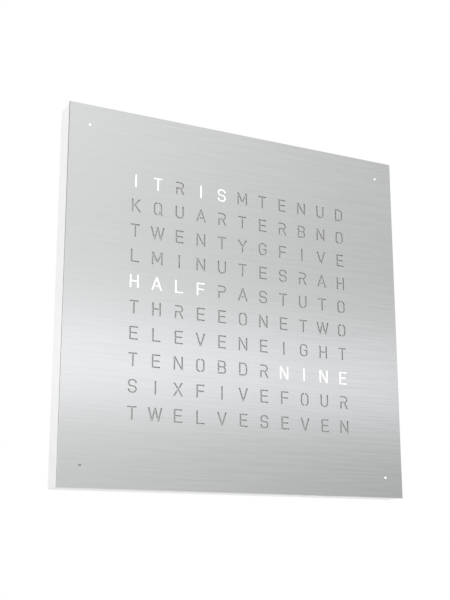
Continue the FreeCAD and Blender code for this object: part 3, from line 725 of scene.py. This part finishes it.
def all_materials():
    white = (0.86, 0.86, 0.855)
    lacquer = plain("white_lacquer", white, 0.34, grain=420, relief=0.006 * MM,
                    Coat_Weight=0.1, Coat_Roughness=0.12)
    return {
        "brushed_cover": brushed_steel(),
        "diffuser": plain("opal_film", (0.71, 0.71, 0.71), 0.6, grain=1600),
        "white_lacquer": lacquer,
        "plated_steel": zinc("zinc_plate", (0.6, 0.61, 0.63), 0.32),
        "nickel": zinc("nickel_plate", (0.72, 0.7, 0.66), 0.2),
        "brass": zinc("turned_brass", (0.72, 0.53, 0.24), 0.25),
        "white_moulding": plain("white_moulding", (0.82, 0.82, 0.81), 0.5, grain=1800),
        "tape": plain("foam_tape", (0.55, 0.55, 0.53), 0.8, grain=2600, relief=0.04 * MM),
        "white_board": board("white_solder_mask", (0.8, 0.81, 0.8)),
        "led": plain("led_housing", (0.82, 0.81, 0.76), 0.4, grain=2000),
        "chip_black": plain("black_moulding", (0.02, 0.02, 0.022), 0.5, grain=3000),
        "lead_white": plain("white_pvc", (0.72, 0.72, 0.7), 0.45, grain=1200),
        "lead_grey": plain("grey_ribbon", (0.35, 0.36, 0.38), 0.5, grain=1200),
        "lead_black": plain("black_pvc", (0.022, 0.022, 0.022), 0.42, grain=1200),
        "panel_grey": plain("grey_moulding", (0.62, 0.62, 0.61), 0.55, grain=2200,
                            relief=0.03 * MM),
        "connector_cream": plain("cream_nylon", (0.68, 0.64, 0.5), 0.45, grain=1500),
        "green_board": board("green_solder_mask", (0.015, 0.09, 0.035)),
        "button_white": plain("button_moulding", (0.82, 0.82, 0.81), 0.25, grain=1500),
        "plunger_grey": plain("grey_plunger", (0.25, 0.25, 0.25), 0.45, grain=1500),
    }


def dress_cad_nodes(finishes):
    """Gives every CAD node the finish of its slot in the record."""
    for part in frame["record"]["subparts"]:
        node = frame["nodes"][part["node"]]
        node.data.materials.clear()
        node.data.materials.append(finishes[part["material_slot"]])


# ------------------------------------------------------------------ stage, light and camera
def floor():
    mesh = bpy.data.meshes.new("floor")
    mesh.from_pydata([(sx * FLOOR_R, sy * FLOOR_R, FLOOR_Z) for sx, sy in CORNERS], [],
                     [(0, 1, 2, 3)])
    mesh.materials.append(material("pale_floor", (0.92, 0.92, 0.92), 0.9, Specular_IOR_Level=0.0))
    made = bpy.data.objects.new("floor", mesh)
    bpy.context.scene.collection.objects.link(made)


def banded(tree, rise, bands):
    """Colour at a rise, smoothly through the bands."""
    node = tree.nodes.new("ShaderNodeValToRGB")
    ramp = node.color_ramp
    ramp.interpolation = "B_SPLINE"
    while len(ramp.elements) < len(bands):
        ramp.elements.new(1.0)
    for element, (place, colour) in zip(ramp.elements, bands):
        element.position = place / RISE_SPAN
        element.color = (*colour, 1)
    tree.links.new(maths(tree, "DIVIDE", rise, RISE_SPAN), node.inputs["Fac"])
    return node.outputs["Color"]


def level_at(tree, rise, levels):
    """Level at a rise, smoothly through the levels."""
    greys = [(place, (level / LEVEL_SPAN,) * 3) for place, level in levels]
    return maths(tree, "MULTIPLY", banded(tree, rise, greys), LEVEL_SPAN)


def turning(tree, first, second, value, span):
    """The first level, turning into the second as the value goes through the span."""
    difference = maths(tree, "SUBTRACT", second, first)
    step = maths(tree, "MULTIPLY", difference, ranged(tree, value, span))
    return maths(tree, "ADD", first, step)


def room_in_reflections(tree):
    """What polished surfaces see: a soft level lamp ahead, a dimmer right side and a left wall.

    The room behind the clock mirrors the one in front.
    """
    nodes, links = tree.nodes, tree.links
    way = nodes.new("ShaderNodeTexCoord")
    axes = nodes.new("ShaderNodeSeparateXYZ")
    links.new(way.outputs["Generated"], axes.inputs[0])
    ahead = maths(tree, "MAXIMUM", maths(tree, "ABSOLUTE", axes.outputs["Y"]), LEAST_RUN)
    leftward = maths(tree, "MULTIPLY", axes.outputs["X"], -1.0)
    beside = maths(tree, "MAXIMUM", leftward, LEAST_RUN)
    rise = maths(tree, "DIVIDE", axes.outputs["Z"], ahead)
    rise_beside = maths(tree, "DIVIDE", axes.outputs["Z"], beside)

    level = turning(tree, level_at(tree, rise, ROOM_LEFT), level_at(tree, rise, ROOM_RIGHT),
                    maths(tree, "DIVIDE", axes.outputs["X"], ahead), ROOM_ASIDE)
    level = turning(tree, level, level_at(tree, rise_beside, ROOM_BESIDE),
                    maths(tree, "DIVIDE", leftward, ahead), ROOM_CORNER)
    light = nodes.new("ShaderNodeBackground")
    links.new(banded(tree, rise, ROOM_COLOURS), light.inputs["Color"])
    links.new(maths(tree, "DIVIDE", level, WHITE_LEVEL), light.inputs["Strength"])
    return light.outputs["Background"]


def world_light():
    """White to the camera, the room to polished surfaces, and soft even light on the rest."""
    world = bpy.data.worlds.new("studio")
    bpy.context.scene.world = world
    world.use_nodes = True
    tree = world.node_tree
    nodes, links = tree.nodes, tree.links
    soft = nodes["Background"]
    soft.inputs["Strength"].default_value = SOFT_LEVEL
    soft.inputs["Color"].default_value = (1, 1, 1, 1)
    white = nodes.new("ShaderNodeBackground")
    white.inputs["Color"].default_value = (1, 1, 1, 1)
    ray = nodes.new("ShaderNodeLightPath")
    seen = maths(tree, "MAXIMUM", ray.outputs["Is Camera Ray"], ray.outputs["Is Transmission Ray"])
    shader = soft.outputs["Background"]
    for by, other in ((ray.outputs["Is Glossy Ray"], room_in_reflections(tree)),
                      (seen, white.outputs["Background"])):
        mix = nodes.new("ShaderNodeMixShader")
        links.new(by, mix.inputs["Fac"])
        links.new(shader, mix.inputs[1])
        links.new(other, mix.inputs[2])
        shader = mix.outputs["Shader"]
    links.new(shader, nodes["World Output"].inputs["Surface"])


def key_light():
    """Square soft lamp that faces the clock and isn't seen itself."""
    data = bpy.data.lights.new("key", "AREA")
    data.size = KEY_SIDE
    data.energy = KEY_POWER
    lamp = bpy.data.objects.new("key", data)
    lamp.location = KEY_AT
    lamp.rotation_euler = (-Vector(KEY_AT)).to_track_quat("-Z", "Y").to_euler()
    lamp.visible_camera = False
    lamp.visible_glossy = False
    bpy.context.scene.collection.objects.link(lamp)


def camera():
    data = bpy.data.cameras.new("camera")
    data.lens = CAMERA_LENS
    data.shift_x, data.shift_y = CAMERA_SHIFT
    data.clip_start, data.clip_end = CAMERA_CLIP
    made = bpy.data.objects.new("camera", data)
    look = (Vector(CAMERA_TARGET) - Vector(CAMERA_AT)).to_track_quat("-Z", "Y")
    made.matrix_world = (Matrix.Translation(CAMERA_AT) @ look.to_matrix().to_4x4()
                         @ Matrix.Rotation(CAMERA_ROLL, 4, "Z"))
    bpy.context.scene.collection.objects.link(made)
    bpy.context.scene.camera = made


# ------------------------------------------------------------------ the whole scene
def main():
    finishes = all_materials()
    dress_cad_nodes(finishes)
    opal = glowing("lit_opal", (0.7, 0.7, 0.7), (1.0, 1.0, 1.0), 0.52)
    # The cover's chamfer takes steel lighter than the face's, a painted highlight. Its outer sides
    # take near-black steel, painted shade that draws the dark line between cover and case.
    cover_plate([finishes["brushed_cover"], cut_steel("plate_chamfer_painted_highlight", 0.9, 0.2),
                 cut_steel("plate_sides_painted_shade", 0.1), cut_steel("cut_sides", 0.6),
                 # The steel walls of lit letters glow by themselves: painted light standing in for
                 # the glow of the sheet behind.
                 glowing("lit_cut_sides_painted_glow", (0.5, 0.5, 0.5), (1.0, 1.0, 1.0), 0.56)])
    opal_sheet(finishes["diffuser"], opal)
    phosphor = plain("phosphor", (0.85, 0.68, 0.18), 0.45, grain=2400)
    lit_phosphor = glowing("lit_phosphor", (0.85, 0.8, 0.6), (1.0, 0.97, 0.88), 6.0)
    all_leds([finishes["led"], phosphor, lit_phosphor])
    panel_screws(finishes["plated_steel"])
    set_buttons(finishes["button_white"])

    floor()
    world_light()
    key_light()
    camera()
    bpy.context.scene.view_settings.view_transform = "Standard"


main()
